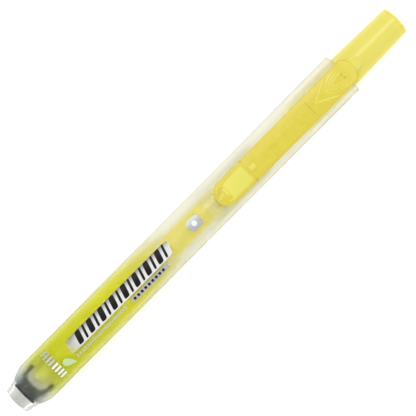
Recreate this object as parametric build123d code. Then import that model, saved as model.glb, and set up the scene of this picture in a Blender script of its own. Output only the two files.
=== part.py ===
from build123d import *
from math import cos, radians, sin
import os

# Retractable highlighter lying on its back, clip up, millimetres.
# +X runs from the nose to the push button, +Z points up through the clip.
# Stations along the pen are measured from the front face of the nose.

LENGTH = 142.0  # nose face to button end, nib retracted
BARREL_R = 6.0  # straight front half of the barrel
BARREL_REAR_R = 6.16  # mould draft widens the rear
BORE_R = 5.1  # inside of the barrel
STROKE = 13.0  # push button travel, 12 to the latch and 1 beyond
GAP = 0.1  # between pieces that move past each other end to end
AXIS_Z = BARREL_REAR_R

# Barrel stations
BARREL_FRONT = 3.85
CONE_MIDDLE = 5.5  # the front cone bulges through this point
CONE_MIDDLE_R = 5.42
SHOULDER = 7.6  # where the front cone reaches full width
TAPER_FROM = 62.0
BARREL_REAR = 121.8
RIM_ROUND = 0.35
BARREL_FRONT_R = 4.65
NECK_R = 4.1  # opening that grips the nose
NECK_END = 4.9
FLANGE_R = 4.6
FLANGE_END = 5.7
BORE_FROM = 6.6
SLOT_FROM = 108.2
SLOT_WIDTH = 4.4

# Nose and seat
NOSE_R = 4.55  # at the barrel's front rim
NOSE_TIP_R = 3.86
NOSE_FACE_R = 3.1
NOSE_ROUND_END = 0.85
NOSE_HOLE_R = 2.6
SEAT_FRONT = 2.95
SEAT_R = 3.5
SEAT_HOLE_R = 2.45

# Shutter: two leaves of a ball shell that turn about one cross axis
PIVOT = 9.0
LEAF_R = 4.5
LEAF_INNER_R = 3.95
LEAF_HALF_WIDTH = 3.2
LEAF_FROM = 0.5  # degrees above the parting plane
LEAF_TO = 44.0
SEAT_CLEAR = 0.05
ARM_BOSS_R = 1.0
ARM_TIP_R = 3.0
ARM_FROM = 8.0
ARM_LAP = 0.1  # how far an arm runs into its leaf
UPPER_ARM = (LEAF_HALF_WIDTH - ARM_LAP, 3.6)
LOWER_ARM = (3.7, 4.1)
LOWER_BRIDGE_R = (1.9, 3.1)
ARM_LIMIT_R = 4.9
PIN_R = 0.45
PIN_RUNNING = 0.05
EAR = (4.25, 4.85)
EAR_HALF_HEIGHT = 1.3
EAR_FRONT = 8.0

# Sealed chamber
CHAMBER_FRONT = 12.7
CHAMBER_WALL_END = 13.7
CHAMBER_GUIDE_R = 2.6
CHAMBER_INNER_R = 4.2
CHAMBER_TAPER = (46.0, 52.0)
CHAMBER_TAIL_R = 4.65
CHAMBER_THROAT_R = 3.5
SEAL_POCKET = (52.6, 54.4)
SEAL_POCKET_R = 4.0
CHAMBER_REAR = 56.0

# Refill
NIB_TIP = 7.2
NIB_R = 1.75
NIB_REAR = 40.0
CHISEL_END = 10.4
CHISEL_HALF_EDGE = 0.45
CHISEL_SLANT = 1.4
HOLDER_FRONT = 11.2
HOLDER_R = 2.2
HOLDER_CHAMFER = 0.25
HOLDER_FLANGE = (31.0, 32.0)
HOLDER_REAR = 36.0
RING_GROOVE = (33.2, 34.2)
RING_GROOVE_R = 2.3
TUBE_R = 3.25
TUBE_INNER_R = 2.75
TUBE_REAR = 78.0
CORE_R = 2.7
CORE_REAR = 75.5
PLUG_FRONT = 76.0
PLUG_REAR = 79.2

# Return spring
WIRE_R = 0.2
SPRING_R = 3.0
SPRING_TURNS = 8.5

# Latch
CAM_FRONT = 71.0
CAM_REAR = 90.5
CAM_INNER_R = 4.2
RIB_FRONT = 72.4
RIB_INNER_R = 3.45
RIBS = 4
GROOVE_ANGLE = 50.0
ROTOR_R = 3.2
ROTOR_BODY_END = 85.2
FIN = (80.0, 85.0)
FIN_R = 4.1
FIN_ANGLE = 14.0
FIN_START_ANGLE = -12.0
TOOTH_HEIGHT = 0.8
TEETH = 8
CROWN_BORE_R = 2.0
LUG = (87.6, 89.8)
LUG_ANGLE = 12.0
CROWN_FLANGE = (103.8, 104.8)
CROWN_REAR = 110.0
SPIGOT_R = 3.28  # pushed into the button's bore

# Push button and its clip
BUTTON_FRONT_R = 4.75
BUTTON_END_R = 4.24
BUTTON_ROUND = 0.8
BUTTON_DOME = 0.35
BUTTON_FLAT_R = 0.6
BUTTON_BORE_R = 3.3
BUTTON_BORE_END = 139.5
CLIP_FRONT = 74.5
CLIP_HALF_WIDTH = 3.6
CLIP_NOSE_LENGTH = 4.0
CLIP_UNDER = 6.6  # height of the clip's underside over the pen axis
CLIP_TOP = 8.1
CLIP_CROWN = 0.3  # how far the clip's edges drop below its middle
CLIP_FALL_FROM = 117.5
CLIP_FALL_TO = 124.6
CLIP_END_TOP = 6.75
CLIP_PAD = (76.5, 80.5)
CLIP_PAD_HALF_WIDTH = 1.6
CLIP_PAD_UNDER = 6.2
WEB_WIDTH = 3.8
WEB_FROM = 121.3
WEB_REAR = 128.5
WEB_FOOT = 4.2  # inside the button's wall


def at(station):
    return station - LENGTH / 2


def closed_profile(points):
    return make_face(Polyline(*[(at(s), r) for s, r in points], close=True))


def turned(points):
    """Solid of revolution from (station, radius) corners."""
    return revolve(closed_profile(points), Axis.X)


def ring(front, rear, outer, inner=0.0):
    return turned([(front, inner), (front, outer), (rear, outer), (rear, inner)])


def polar(radius, angle):
    """Point in the side view; the angle is measured up from straight ahead."""
    return (-radius * cos(radians(angle)), radius * sin(radians(angle)))


def slab(face, low, high):
    """Side-view face given thickness across the pen, between two values of y."""
    upright = Plane((0, low, 0), x_dir=(1, 0, 0), z_dir=(0, 1, 0))
    mirrored = mirror(face, Plane.XZ)
    return extrude(upright * mirrored, high - low)


def both_sides(face, low, high):
    return slab(face, low, high) + slab(face, -high, -low)


def wedge(front, rear, inner, outer, middle, width):
    """Part of a ring between two stations, `width` degrees wide about `middle`."""
    half = width / 2
    spread = outer / cos(radians(half))
    corners = [
        (0.0, 0.0),
        (spread * cos(radians(middle - half)), spread * sin(radians(middle - half))),
        (spread * cos(radians(middle + half)), spread * sin(radians(middle + half))),
    ]
    sector = make_face(Polyline(*corners, close=True))
    plane = Plane((at(front), 0, 0), x_dir=(0, 1, 0), z_dir=(1, 0, 0))
    prism = extrude(plane * sector, rear - front)
    return prism & ring(front, rear, outer, inner)


def barrel():
    rim = BARREL_REAR - RIM_ROUND
    front = (at(BARREL_FRONT), BARREL_FRONT_R)
    cone_middle = (at(CONE_MIDDLE), CONE_MIDDLE_R)
    shoulder = (at(SHOULDER), BARREL_R)
    taper = (at(TAPER_FROM), BARREL_R)
    rim_top = (at(rim), BARREL_REAR_R)
    rim_face = (at(BARREL_REAR), BARREL_REAR_R - RIM_ROUND)
    inside = [
        (at(BARREL_REAR), BORE_R),
        (at(BORE_FROM), BORE_R),
        (at(NECK_END), FLANGE_R),
        (at(NECK_END), NECK_R),
        (at(BARREL_FRONT), NECK_R),
    ]
    outline = [
        ThreePointArc(front, cone_middle, shoulder),
        Line(shoulder, taper),
        Line(taper, rim_top),
        TangentArc(rim_top, rim_face, tangent=(1, 0)),
        Polyline(rim_face, *inside, front),
    ]
    shell = revolve(make_face(outline), Axis.X)
    slot_length = BARREL_REAR - SLOT_FROM + 1
    slot = Pos(at(SLOT_FROM) + slot_length / 2, 0, BORE_R) * Box(slot_length, SLOT_WIDTH, 4.0)
    return shell - slot


def nose_cone():
    face = (at(0), NOSE_FACE_R)
    tip = (at(NOSE_ROUND_END), NOSE_TIP_R)
    rest = [
        (at(BARREL_FRONT), NOSE_R),
        (at(BARREL_FRONT), NECK_R),
        (at(NECK_END), NECK_R),
        (at(NECK_END), FLANGE_R),
        (at(FLANGE_END), FLANGE_R),
        (at(FLANGE_END), SEAT_R),
        (at(SEAT_FRONT), SEAT_R),
        (at(SEAT_FRONT), SEAT_R - 0.4),
        (at(1.0), NOSE_HOLE_R),
        (at(0), NOSE_HOLE_R),
    ]
    outline = [
        TangentArc(tip, face, tangent=(-1, -0.23)),
        Polyline(tip, *rest, face),
    ]
    return revolve(make_face(outline), Axis.X)


def seat_ring():
    body = ring(SEAT_FRONT, FLANGE_END, SEAT_R, SEAT_HOLE_R)
    return body - Pos(at(PIVOT), 0, 0) * Sphere(LEAF_R + SEAT_CLEAR)


def ball_limit(radius):
    return Pos(at(PIVOT), 0, 0) * Sphere(radius)


def leaf_shell(side):
    """Slice of the ball between two angles; side is +1 above, -1 below."""
    far = 2 * LEAF_R
    corners = [
        (0.0, 0.0),
        polar(far, side * LEAF_FROM),
        polar(far, side * LEAF_TO),
    ]
    slice_face = Pos(at(PIVOT), 0) * make_face(Polyline(*corners, close=True))
    shell = ball_limit(LEAF_R) - ball_limit(LEAF_INNER_R)
    return shell & slab(slice_face, -LEAF_HALF_WIDTH, LEAF_HALF_WIDTH)


def arm_face(side):
    low, high = sorted([side * ARM_FROM, side * LEAF_TO])
    middle = (low + high) / 2
    corners = [
        polar(ARM_BOSS_R - ARM_LAP, middle - 90),
        polar(ARM_TIP_R, low),
        polar(ARM_TIP_R, high),
        polar(ARM_BOSS_R - ARM_LAP, middle + 90),
    ]
    bar = make_face(Polyline(*corners, close=True))
    return Pos(at(PIVOT), 0) * (bar + Circle(ARM_BOSS_R) - Circle(PIN_R + PIN_RUNNING))


def bridge_face():
    low, high = LOWER_BRIDGE_R
    corners = [
        polar(low, -LEAF_TO),
        polar(high, -LEAF_TO),
        polar(high, -ARM_FROM),
        polar(low, -ARM_FROM),
    ]
    return Pos(at(PIVOT), 0) * make_face(Polyline(*corners, close=True))


def upper_shutter():
    arms = both_sides(arm_face(1), *UPPER_ARM) & ball_limit(LEAF_R)
    return leaf_shell(1) + arms


def lower_shutter():
    arms = both_sides(arm_face(-1), *LOWER_ARM)
    bridges = both_sides(bridge_face(), LEAF_HALF_WIDTH - ARM_LAP, LOWER_ARM[1])
    return leaf_shell(-1) + ((arms + bridges) & ball_limit(ARM_LIMIT_R))


def shutter_pins():
    disc = Pos(at(PIVOT), 0) * Circle(PIN_R)
    return both_sides(disc, LEAF_HALF_WIDTH - ARM_LAP, EAR[1])


def chamber_sleeve():
    start, end = CHAMBER_TAPER
    pocket = SEAL_POCKET[0]
    body = turned([
        (CHAMBER_FRONT, CHAMBER_GUIDE_R),
        (CHAMBER_FRONT, BORE_R),
        (start, BORE_R),
        (end, CHAMBER_TAIL_R),
        (CHAMBER_REAR, CHAMBER_TAIL_R),
        (CHAMBER_REAR, SEAL_POCKET_R),
        (pocket, SEAL_POCKET_R),
        (pocket, CHAMBER_THROAT_R),
        (end, CHAMBER_THROAT_R),
        (start, CHAMBER_INNER_R),
        (CHAMBER_WALL_END, CHAMBER_INNER_R),
        (CHAMBER_WALL_END, CHAMBER_GUIDE_R),
    ])
    length = CHAMBER_FRONT - EAR_FRONT + ARM_LAP
    centre = at(EAR_FRONT) + length / 2
    bar = Pos(centre, 0) * Rectangle(length, 2 * EAR_HALF_HEIGHT)
    hole = Pos(at(PIVOT), 0) * Circle(PIN_R)
    return body + both_sides(bar - hole, *EAR)


def chamber_seal():
    front, rear = SEAL_POCKET
    lip = TUBE_R + 0.03
    return turned([
        (front, lip + 0.25),
        (front, SEAL_POCKET_R),
        (rear, SEAL_POCKET_R),
        (rear, lip + 0.25),
        ((front + rear) / 2, lip),
    ])


def seal_retainer():
    return ring(SEAL_POCKET[1], CHAMBER_REAR, SEAL_POCKET_R, TUBE_R + 0.15)


def main_spring():
    """Round wire along a helix, from the chamber's front wall to the holder's flange."""
    front = CHAMBER_WALL_END + WIRE_R + 0.02
    rear = HOLDER_FLANGE[0] - WIRE_R - 0.02
    height = rear - front
    path = Helix(
        pitch=height / SPRING_TURNS,
        height=height,
        radius=SPRING_R,
        center=(at(front), 0, 0),
        direction=(1, 0, 0),
    )
    start = Plane(origin=path @ 0, z_dir=path % 0)
    return sweep(start * Circle(WIRE_R), path=path, is_frenet=True)


def nib():
    """Fibre rod with a slanted chisel edge."""
    rod = ring(NIB_TIP, NIB_REAR, NIB_R)
    corners = [
        (at(NIB_TIP), -CHISEL_HALF_EDGE),
        (at(NIB_TIP), CHISEL_HALF_EDGE),
        (at(CHISEL_END), NIB_R),
        (at(NIB_REAR), NIB_R),
        (at(NIB_REAR), -NIB_R),
        (at(CHISEL_END), -NIB_R),
    ]
    side_view = make_face(Polyline(*corners, close=True))
    slant = make_face(Polyline(
        (at(NIB_TIP) - 1, -NIB_R - 1),
        (at(NIB_TIP + CHISEL_SLANT), -NIB_R - 1),
        (at(NIB_TIP), NIB_R),
        (at(NIB_TIP) - 1, NIB_R),
        close=True,
    ))
    cutter = Pos(0, 0, -NIB_R) * extrude(slant, 2 * NIB_R)
    return (rod & slab(side_view, -NIB_R, NIB_R)) - cutter


def nib_holder():
    flange_front, flange_rear = HOLDER_FLANGE
    groove_front, groove_rear = RING_GROOVE
    return turned([
        (HOLDER_FRONT, NIB_R),
        (HOLDER_FRONT, HOLDER_R - HOLDER_CHAMFER),
        (HOLDER_FRONT + HOLDER_CHAMFER, HOLDER_R),
        (flange_front, HOLDER_R),
        (flange_front, TUBE_R),
        (flange_rear, TUBE_R),
        (flange_rear, TUBE_INNER_R),
        (groove_front, TUBE_INNER_R),
        (groove_front, RING_GROOVE_R),
        (groove_rear, RING_GROOVE_R),
        (groove_rear, TUBE_INNER_R),
        (HOLDER_REAR, TUBE_INNER_R),
        (HOLDER_REAR, NIB_R),
    ])


def holder_seal():
    return ring(*RING_GROOVE, TUBE_INNER_R, RING_GROOVE_R)


def ink_tube():
    return ring(HOLDER_FLANGE[1], TUBE_REAR, TUBE_R, TUBE_INNER_R)


def ink_core():
    return ring(HOLDER_REAR, CORE_REAR, CORE_R) - ring(HOLDER_REAR, NIB_REAR, NIB_R)


def tail_plug():
    return ring(PLUG_FRONT, TUBE_REAR, TUBE_INNER_R) + ring(TUBE_REAR, PLUG_REAR, TUBE_R)


def rib_angle(index):
    return index * 360 / RIBS


def cam_sleeve():
    """Tube with grooves along its inside, between ribs that stop the rotor's fins."""
    rib_width = 360 / RIBS - GROOVE_ANGLE
    sleeve = ring(CAM_FRONT, CAM_REAR, BORE_R, CAM_INNER_R)
    for index in range(RIBS):
        middle = rib_angle(index) + 180 / RIBS
        sleeve += wedge(RIB_FRONT, CAM_REAR, RIB_INNER_R, CAM_INNER_R + ARM_LAP, middle, rib_width)
    return sleeve


def tooth_ring(root, tip, turn):
    """Ring of V teeth whose points stand from the root station to the tip station."""
    pitch = 360 / TEETH
    base = min(root, tip)
    top = max(root, tip)
    teeth = ring(base, top, ROTOR_R, CROWN_BORE_R)
    flare = 2 * ROTOR_R
    half_gap = flare * sin(radians(pitch / 2))
    for index in range(TEETH):
        gap = make_face(Polyline(
            (at(root), 0),
            (at(tip) + (tip - root) * (flare / ROTOR_R - 1), -half_gap),
            (at(tip) + (tip - root) * (flare / ROTOR_R - 1), half_gap),
            close=True,
        ))
        cut = loft([
            Pos(0, 0, 0.01) * scale(gap, (1, 0.01 / flare, 1)),
            Pos(0, 0, flare) * gap,
        ])
        teeth -= Rot(turn + index * pitch, 0, 0) * cut
    return teeth


def cam_rotor():
    body = ring(PLUG_REAR + GAP, ROTOR_BODY_END, ROTOR_R)
    for index in range(RIBS):
        middle = rib_angle(index) + FIN_START_ANGLE
        body += wedge(*FIN, ROTOR_R - ARM_LAP, FIN_R, middle, FIN_ANGLE)
    return body + tooth_ring(ROTOR_BODY_END, ROTOR_BODY_END + TOOTH_HEIGHT, 0)


def knock_crown():
    tip = ROTOR_BODY_END + TOOTH_HEIGHT + GAP
    root = tip + TOOTH_HEIGHT
    flange_front, flange_rear = CROWN_FLANGE
    body = ring(root, flange_rear, ROTOR_R, CROWN_BORE_R)
    body += ring(flange_front, flange_rear, FLANGE_R, CROWN_BORE_R)
    body += ring(flange_rear, CROWN_REAR, SPIGOT_R, CROWN_BORE_R)
    for index in range(RIBS):
        body += wedge(*LUG, ROTOR_R - ARM_LAP, FIN_R, rib_angle(index), LUG_ANGLE)
    return body + tooth_ring(root, tip, 180 / TEETH)


def button_tube():
    start = (at(CROWN_FLANGE[1]), BUTTON_FRONT_R)
    taper = (at(BARREL_REAR), BUTTON_FRONT_R)
    corner_top = (at(LENGTH - BUTTON_DOME - BUTTON_ROUND), BUTTON_END_R)
    corner_face = (at(LENGTH - BUTTON_DOME), BUTTON_END_R - BUTTON_ROUND)
    flat = (at(LENGTH), BUTTON_FLAT_R)
    dome_middle = (at(LENGTH - BUTTON_DOME / 4), corner_face[1] / 2)
    inside = [
        (at(LENGTH), 0),
        (at(BUTTON_BORE_END), 0),
        (at(BUTTON_BORE_END), BUTTON_BORE_R),
        (at(CROWN_FLANGE[1]), BUTTON_BORE_R),
    ]
    outline = [
        Polyline(start, taper, corner_top),
        TangentArc(corner_top, corner_face, tangent=(1, 0)),
        ThreePointArc(corner_face, dome_middle, flat),
        Polyline(flat, *inside, start),
    ]
    return revolve(make_face(outline), Axis.X)


def clip_plan():
    """Outline of the clip from above: rounded at the front and at the rear."""
    nose = at(CLIP_FRONT)
    full = at(CLIP_FRONT + CLIP_NOSE_LENGTH)
    tail = at(CLIP_FALL_TO)
    narrow = at(CLIP_FALL_TO - CLIP_NOSE_LENGTH / 2)
    side = CLIP_HALF_WIDTH
    ease = side * 0.72
    near = CLIP_NOSE_LENGTH * 0.27
    return make_face([
        Spline((full, side), (nose + near, ease), (nose, 0), (nose + near, -ease), (full, -side),
               tangents=((-1, 0), (1, 0))),
        Line((full, -side), (narrow, -side)),
        ThreePointArc((narrow, -side), (tail, 0), (narrow, side)),
        Line((narrow, side), (full, side)),
    ])


def clip_side():
    """Outline of the clip from the side, falling at the rear towards the button."""
    return make_face([
        Polyline(
            (at(CLIP_FALL_FROM), CLIP_TOP),
            (at(CLIP_FRONT + 1.0), CLIP_TOP),
            (at(CLIP_FRONT), CLIP_TOP - 0.7),
            (at(CLIP_FRONT), CLIP_UNDER),
            (at(CLIP_FALL_TO), CLIP_UNDER),
            (at(CLIP_FALL_TO), CLIP_END_TOP),
        ),
        Spline((at(CLIP_FALL_TO), CLIP_END_TOP), (at(CLIP_FALL_FROM), CLIP_TOP),
               tangents=((-1, 0.45), (-1, 0))),
    ])


def clip():
    """Crowned bar over the barrel, with a grip pad under its front end."""
    crown_r = (CLIP_HALF_WIDTH**2 + CLIP_CROWN**2) / (2 * CLIP_CROWN)
    crown = Pos(0, 0, CLIP_TOP - crown_r) * Rot(0, 90, 0) * Cylinder(crown_r, LENGTH)
    bar = slab(clip_side(), -CLIP_HALF_WIDTH, CLIP_HALF_WIDTH) & crown
    plan = Pos(0, 0, CLIP_UNDER - 1) * extrude(clip_plan(), CLIP_TOP)
    pad_front, pad_rear = CLIP_PAD
    pad_height = CLIP_UNDER - CLIP_PAD_UNDER + ARM_LAP
    pad_middle = (at(pad_front) + at(pad_rear)) / 2
    pad = Pos(pad_middle, 0, CLIP_PAD_UNDER + pad_height / 2) * Box(
        pad_rear - pad_front, 2 * CLIP_PAD_HALF_WIDTH, pad_height
    )
    return (bar & plan) + pad


def clip_web():
    """Narrow web that joins the clip to the button through the barrel's slot."""
    outline = make_face(Polyline(
        (at(WEB_FROM), WEB_FOOT),
        (at(WEB_FROM), CLIP_UNDER + ARM_LAP),
        (at(CLIP_FALL_TO) - 0.6, CLIP_UNDER + ARM_LAP),
        (at(WEB_REAR), WEB_FOOT),
        close=True,
    ))
    return slab(outline, -WEB_WIDTH / 2, WEB_WIDTH / 2)


def knock_button():
    return button_tube() + clip_web() + clip()


PIECES = [
    barrel,
    nose_cone,
    seat_ring,
    upper_shutter,
    lower_shutter,
    shutter_pins,
    chamber_sleeve,
    chamber_seal,
    seal_retainer,
    main_spring,
    nib,
    nib_holder,
    holder_seal,
    ink_tube,
    ink_core,
    tail_plug,
    cam_sleeve,
    cam_rotor,
    knock_crown,
    knock_button,
]

os.makedirs("parts", exist_ok=True)
for piece in PIECES:
    shape = Pos(0, 0, AXIS_Z) * piece()
    export_step(shape, f"parts/{piece.__name__}.step")
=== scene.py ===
import math
import bmesh
import bpy
import numpy as np
from mathutils import Matrix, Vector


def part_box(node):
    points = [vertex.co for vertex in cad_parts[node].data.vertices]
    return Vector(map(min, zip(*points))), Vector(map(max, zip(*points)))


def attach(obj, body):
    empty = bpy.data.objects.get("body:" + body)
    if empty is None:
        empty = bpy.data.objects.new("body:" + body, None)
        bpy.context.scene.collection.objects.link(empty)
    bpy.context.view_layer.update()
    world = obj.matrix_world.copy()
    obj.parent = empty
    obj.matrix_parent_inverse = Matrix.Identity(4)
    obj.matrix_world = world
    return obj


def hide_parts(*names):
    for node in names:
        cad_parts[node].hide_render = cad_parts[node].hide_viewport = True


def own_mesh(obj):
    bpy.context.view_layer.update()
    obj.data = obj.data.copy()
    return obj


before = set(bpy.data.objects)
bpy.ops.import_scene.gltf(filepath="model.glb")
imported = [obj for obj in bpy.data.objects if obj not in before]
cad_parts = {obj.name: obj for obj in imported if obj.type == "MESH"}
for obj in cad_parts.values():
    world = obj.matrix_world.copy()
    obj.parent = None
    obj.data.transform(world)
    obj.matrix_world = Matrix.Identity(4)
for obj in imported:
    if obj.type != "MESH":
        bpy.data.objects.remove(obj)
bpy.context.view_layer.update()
mm = 0.001

# Where the pen lies. Stations are millimetres behind the nose's front face, heights are over its axis.
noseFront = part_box("nose_cone")[0].x
barrelLow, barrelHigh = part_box("barrel")
axisHeight = barrelLow.z + (barrelHigh.y - barrelLow.y) / 2
print("frame loaded, axis at", round(axisHeight / mm, 2), "mm")


def place(station, across, height):
    # station, across, height in millimetres over the axis -> rows of x, y, z in metres
    parts = np.broadcast_arrays(station, across, height)
    shift = np.array([noseFront, 0.0, axisHeight])
    return np.stack([p.ravel() for p in parts], axis=1) * mm + shift


shotSpec = {
    "lean": 3.7,          # degrees that the view leans towards +Y from straight down
    "turn": 45.21,        # degrees from the view's right to the pen's length
    "distance": 0.55,
    "lens": 180.9,
    "sensor": 36,
    "nearest": 0.01,      # what lies closer than this isn't drawn
    "aimAlong": 0.00064,
    "aimAcross": 0.00017,
}
stageSpec = {
    "skyStrength": 0.80,
    "floorHalf": 1.2,
    "floorDrop": 0.00002,  # the floor lies just under the barrel's lowest line
    "floorTone": (0.93, 0.93, 0.93, 1),
    "floorGlow": 0.40,
    "floorRough": 0.9,
    "floorShine": 0.1,
    "lamps": [            # name, place, size in metres, watts; each faces the pen
        ("softBoxAbove", (0.12, 0.29, 0.72), (0.50, 0.09), 2.0),
        ("softBoxRear", (0.45, -0.35, 0.45), (0.30, 0.30), 0.6),
    ],
}


def makeCamera(spec):
    lean = math.radians(spec["lean"])
    turn = math.radians(spec["turn"])
    back = np.array([0.0, math.sin(lean), math.cos(lean)])
    along = np.array([1.0, 0.0, 0.0])
    side = np.cross(back, along)
    aim = np.array([spec["aimAlong"], spec["aimAcross"], axisHeight])
    matrix = np.eye(4)
    matrix[:3, 0] = math.cos(turn) * along - math.sin(turn) * side
    matrix[:3, 1] = math.sin(turn) * along + math.cos(turn) * side
    matrix[:3, 2] = back
    matrix[:3, 3] = aim + back * spec["distance"]
    data = bpy.data.cameras.new("penCamera")
    data.lens = spec["lens"]
    data.sensor_width = spec["sensor"]
    data.clip_start = spec["nearest"]
    camera = bpy.data.objects.new("penCamera", data)
    bpy.context.scene.collection.objects.link(camera)
    camera.matrix_world = Matrix(matrix.tolist())
    bpy.context.scene.camera = camera


def makeLamp(name, spot, size, watts):
    data = bpy.data.lights.new(name, "AREA")
    data.shape = "RECTANGLE"
    data.size, data.size_y = size
    data.energy = watts
    lamp = bpy.data.objects.new(name, data)
    bpy.context.scene.collection.objects.link(lamp)
    lamp.location = spot
    facing = -np.array(spot) / np.linalg.norm(spot)
    lamp.rotation_euler = (
        math.atan2(math.hypot(facing[0], facing[1]), -facing[2]),
        0.0,
        math.atan2(facing[1], facing[0]) - math.pi / 2,
    )


def makeStage(spec):
    world = bpy.data.worlds.new("studio")
    world.use_nodes = True
    sky = world.node_tree.nodes["Background"]
    sky.inputs["Color"].default_value = (1, 1, 1, 1)
    sky.inputs["Strength"].default_value = spec["skyStrength"]
    bpy.context.scene.world = world
    mesh = bpy.data.meshes.new("floor")
    half = spec["floorHalf"]
    corners = [(-half, -half, 0), (half, -half, 0), (half, half, 0), (-half, half, 0)]
    mesh.from_pydata(corners, [], [(0, 1, 2, 3)])
    floor = bpy.data.objects.new("floor", mesh)
    bpy.context.scene.collection.objects.link(floor)
    floor.location.z = -spec["floorDrop"]
    paper = bpy.data.materials.new("palePaper")
    paper.use_nodes = True
    shader = paper.node_tree.nodes["Principled BSDF"]
    shader.inputs["Base Color"].default_value = spec["floorTone"]
    shader.inputs["Roughness"].default_value = spec["floorRough"]
    shader.inputs["Specular IOR Level"].default_value = spec["floorShine"]
    shader.inputs["Emission Color"].default_value = (1, 1, 1, 1)
    shader.inputs["Emission Strength"].default_value = spec["floorGlow"]
    mesh.materials.append(paper)
    for lamp in spec["lamps"]:
        makeLamp(*lamp)
    bpy.context.scene.view_settings.view_transform = "Standard"


makeCamera(shotSpec)
makeStage(stageSpec)
print("camera and stage made")


# What every look has unless it says otherwise. Pattern scales are repeats a metre, bumpDepth is in metres.
plainLook = {
    "clouds": 120.0, "streaks": (60.0, 900.0, 900.0), "grain": 9000.0, "bump": 0.2, "bumpDepth": 0.00002,
    "metal": 0.0, "clear": 0.0, "ior": 1.49, "shine": 0.5, "glow": 0.0, "coat": 0.0, "coatRough": 0.1,
}
plainSockets = {
    "metal": "Metallic", "clear": "Transmission Weight", "ior": "IOR", "shine": "Specular IOR Level",
    "glow": "Emission Strength", "coat": "Coat Weight", "coatRough": "Coat Roughness",
}


def newGroup(name, inputs, outputs):
    group = bpy.data.node_groups.new(name, "ShaderNodeTree")
    for label, kind, value in inputs:
        socket = group.interface.new_socket(label, in_out="INPUT", socket_type=kind)
        socket.default_value = value
    for label, kind in outputs:
        group.interface.new_socket(label, in_out="OUTPUT", socket_type=kind)
    return group, group.nodes.new("NodeGroupInput"), group.nodes.new("NodeGroupOutput")


def mouldedSkin():
    # Moulded plastic seen close: slow cloudy tone, faint flow streaks along the pen and a fine grain.
    group, given, result = newGroup("mouldedSkin", [
        ("Light", "NodeSocketColor", (0.9, 0.9, 0.9, 1)),
        ("Dark", "NodeSocketColor", (0.8, 0.8, 0.8, 1)),
        ("Clouds", "NodeSocketFloat", plainLook["clouds"]),
        ("Streaks", "NodeSocketVector", plainLook["streaks"]),
        ("Grain", "NodeSocketFloat", plainLook["grain"]),
        ("Smoothest", "NodeSocketFloat", 0.3),
        ("Roughest", "NodeSocketFloat", 0.5),
    ], [("Color", "NodeSocketColor"), ("Roughness", "NodeSocketFloat"), ("Height", "NodeSocketFloat")])
    nodes, links = group.nodes, group.links
    spot = nodes.new("ShaderNodeTexCoord")
    clouds = nodes.new("ShaderNodeTexNoise")
    clouds.inputs["Detail"].default_value = 3.0
    stretch = nodes.new("ShaderNodeVectorMath")
    stretch.operation = "MULTIPLY"
    streaks = nodes.new("ShaderNodeTexNoise")
    streaks.inputs["Scale"].default_value = 1.0
    streaks.inputs["Detail"].default_value = 2.0
    grain = nodes.new("ShaderNodeTexNoise")
    grain.inputs["Detail"].default_value = 1.0
    blend = nodes.new("ShaderNodeMix")
    blend.inputs["Factor"].default_value = 0.4
    tone = nodes.new("ShaderNodeMix")
    tone.data_type = "RGBA"
    rough = nodes.new("ShaderNodeMapRange")
    links.new(spot.outputs["Object"], clouds.inputs["Vector"])
    links.new(given.outputs["Clouds"], clouds.inputs["Scale"])
    links.new(spot.outputs["Object"], stretch.inputs[0])
    links.new(given.outputs["Streaks"], stretch.inputs[1])
    links.new(stretch.outputs[0], streaks.inputs["Vector"])
    links.new(spot.outputs["Object"], grain.inputs["Vector"])
    links.new(given.outputs["Grain"], grain.inputs["Scale"])
    links.new(clouds.outputs["Fac"], blend.inputs["A"])
    links.new(streaks.outputs["Fac"], blend.inputs["B"])
    links.new(blend.outputs["Result"], tone.inputs["Factor"])
    links.new(given.outputs["Light"], tone.inputs["A"])
    links.new(given.outputs["Dark"], tone.inputs["B"])
    links.new(tone.outputs["Result"], result.inputs["Color"])
    links.new(blend.outputs["Result"], rough.inputs["Value"])
    links.new(given.outputs["Smoothest"], rough.inputs["To Min"])
    links.new(given.outputs["Roughest"], rough.inputs["To Max"])
    links.new(rough.outputs["Result"], result.inputs["Roughness"])
    links.new(grain.outputs["Fac"], result.inputs["Height"])
    return group


def penShare():
    # How far a point lies between two places: 0 at From, 1 at To. Side picks along (0) or across (1).
    group, given, result = newGroup("penShare", [
        ("From", "NodeSocketFloat", 0.0),
        ("To", "NodeSocketFloat", 0.01),
        ("Side", "NodeSocketFloat", 0.0),
    ], [("Share", "NodeSocketFloat")])
    nodes, links = group.nodes, group.links
    spot = nodes.new("ShaderNodeTexCoord")
    split = nodes.new("ShaderNodeSeparateXYZ")
    pick = nodes.new("ShaderNodeMix")
    reach = nodes.new("ShaderNodeMapRange")
    links.new(spot.outputs["Object"], split.inputs["Vector"])
    links.new(given.outputs["Side"], pick.inputs["Factor"])
    links.new(split.outputs["X"], pick.inputs["A"])
    links.new(split.outputs["Y"], pick.inputs["B"])
    links.new(pick.outputs["Result"], reach.inputs["Value"])
    links.new(given.outputs["From"], reach.inputs["From Min"])
    links.new(given.outputs["To"], reach.inputs["From Max"])
    links.new(reach.outputs["Result"], result.inputs["Share"])
    return group


skinGroup = mouldedSkin()
shareGroup = penShare()


def placeGroup(tree, group, values):
    node = tree.nodes.new("ShaderNodeGroup")
    node.node_tree = group
    for label, value in values.items():
        node.inputs[label].default_value = value
    return node


def shareAlong(tree, first, last, side=0):
    # Places are given in millimetres: stations along the pen (side 0), or across it (side 1).
    start = 0 if side else noseFront
    ends = {"From": start + first * mm, "To": start + last * mm, "Side": side}
    return placeGroup(tree, shareGroup, ends).outputs["Share"]


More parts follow.
